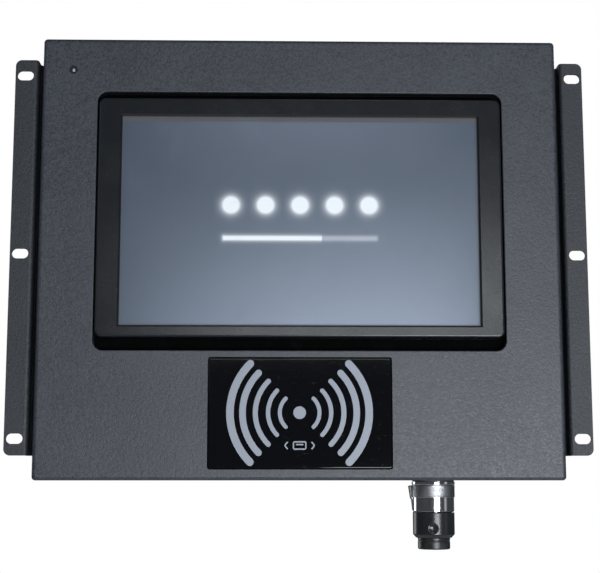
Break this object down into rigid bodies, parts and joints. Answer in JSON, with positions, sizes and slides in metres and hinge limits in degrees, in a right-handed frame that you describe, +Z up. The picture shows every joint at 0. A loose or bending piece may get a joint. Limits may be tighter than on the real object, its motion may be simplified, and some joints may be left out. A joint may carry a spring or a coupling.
{
  "type": "panel mount ticketing terminal",
  "caption": "Flat black steel terminal with a framed touch screen, a contactless card window below it, slotted side wings and a screw-ring cable plug underneath.",
  "frame": {"origin": "middle of the six mounting slots, on the rear faces of the two side wings", "axes": "+X to the right seen from the front, +Z up, +Y backwards, so the screen faces -Y"},
  "size_m": [0.3184, 0.0449, 0.2811],
  "materials": {
    "powder_coat": "fine textured black powder coat, satin",
    "black_steel": "black oxide, slightly oily",
    "zinc_steel": "bright zinc plate",
    "bezel_plastic": "moulded, fine matt grain",
    "foam": "closed-cell foam",
    "screen_glass": "cover glass, gloss",
    "lcd_panel": "liquid crystal cell with a polariser",
    "tray_metal": "pressed tray, satin",
    "circuit_board": "green solder resist",
    "board_black": "moulded epoxy",
    "sink_aluminium": "extruded, grey anodised",
    "copper": "copper track",
    "ferrite": "flexible ferrite sheet",
    "ribbon_film": "amber polyimide film",
    "lead_sleeve": "black braided sleeve",
    "black_acrylic": "polished black acrylic, printed symbol in light grey",
    "tape": "double-sided adhesive foam",
    "clear_lens": "clear moulded light pipe",
    "nickel": "satin nickel plate",
    "insulator": "black insulator",
    "seal_rubber": "black rubber",
    "plug_plastic": "smooth black moulding"
  },
  "bodies": {
    "terminal": {"front_cover": "powder_coat", "rear_cover": "powder_coat", "left_wing": "powder_coat", "right_wing": "powder_coat", "left_wing_screws": "black_steel", "right_wing_screws": "black_steel", "wing_nuts": "zinc_steel", "cover_screws": "black_steel", "cover_nuts": "zinc_steel", "display_bezel": "bezel_plastic", "display_gasket": "foam", "touch_glass": "screen_glass", "lcd_cell": "lcd_panel", "lcd_backlight": "tray_metal", "display_pads": "foam", "chassis_plate": "zinc_steel", "chassis_posts": "zinc_steel", "chassis_nuts": "zinc_steel", "main_board": "circuit_board", "board_parts": "board_black", "heat_sink": "sink_aluminium", "board_standoffs": "zinc_steel", "board_screws": "zinc_steel", "power_converter": "board_black", "display_ribbon": "ribbon_film", "harness": "lead_sleeve", "reader_lead": "lead_sleeve", "card_window": "black_acrylic", "window_tape": "tape", "reader_board": "circuit_board", "reader_parts": "board_black", "antenna_coil": "copper", "ferrite_sheet": "ferrite", "reader_standoffs": "zinc_steel", "reader_screws": "zinc_steel", "indicator_light_pipe": "clear_lens", "indicator_board": "circuit_board", "indicator_pillars": "insulator", "socket_shell": "nickel", "socket_insert": "insulator", "socket_seal": "seal_rubber", "socket_nut": "zinc_steel"},
    "plug": {"plug_barrel": "nickel", "plug_insert": "insulator", "plug_body": "plug_plastic", "plug_boot": "seal_rubber"},
    "ring": {"coupling_ring": "nickel", "ring_rib": "plug_plastic"}
  },
  "joints": [
    {"name": "plug_slide", "type": "slide", "parent": "terminal", "child": "plug", "axis": [0, 0, -1], "range_m": [0, 0.016]},
    {"name": "ring_spin", "type": "hinge", "parent": "plug", "child": "ring", "pos_m": [0.0737, 0.0145, -0.1329], "axis": [0, 0, 1], "continuous": true}
  ]
}
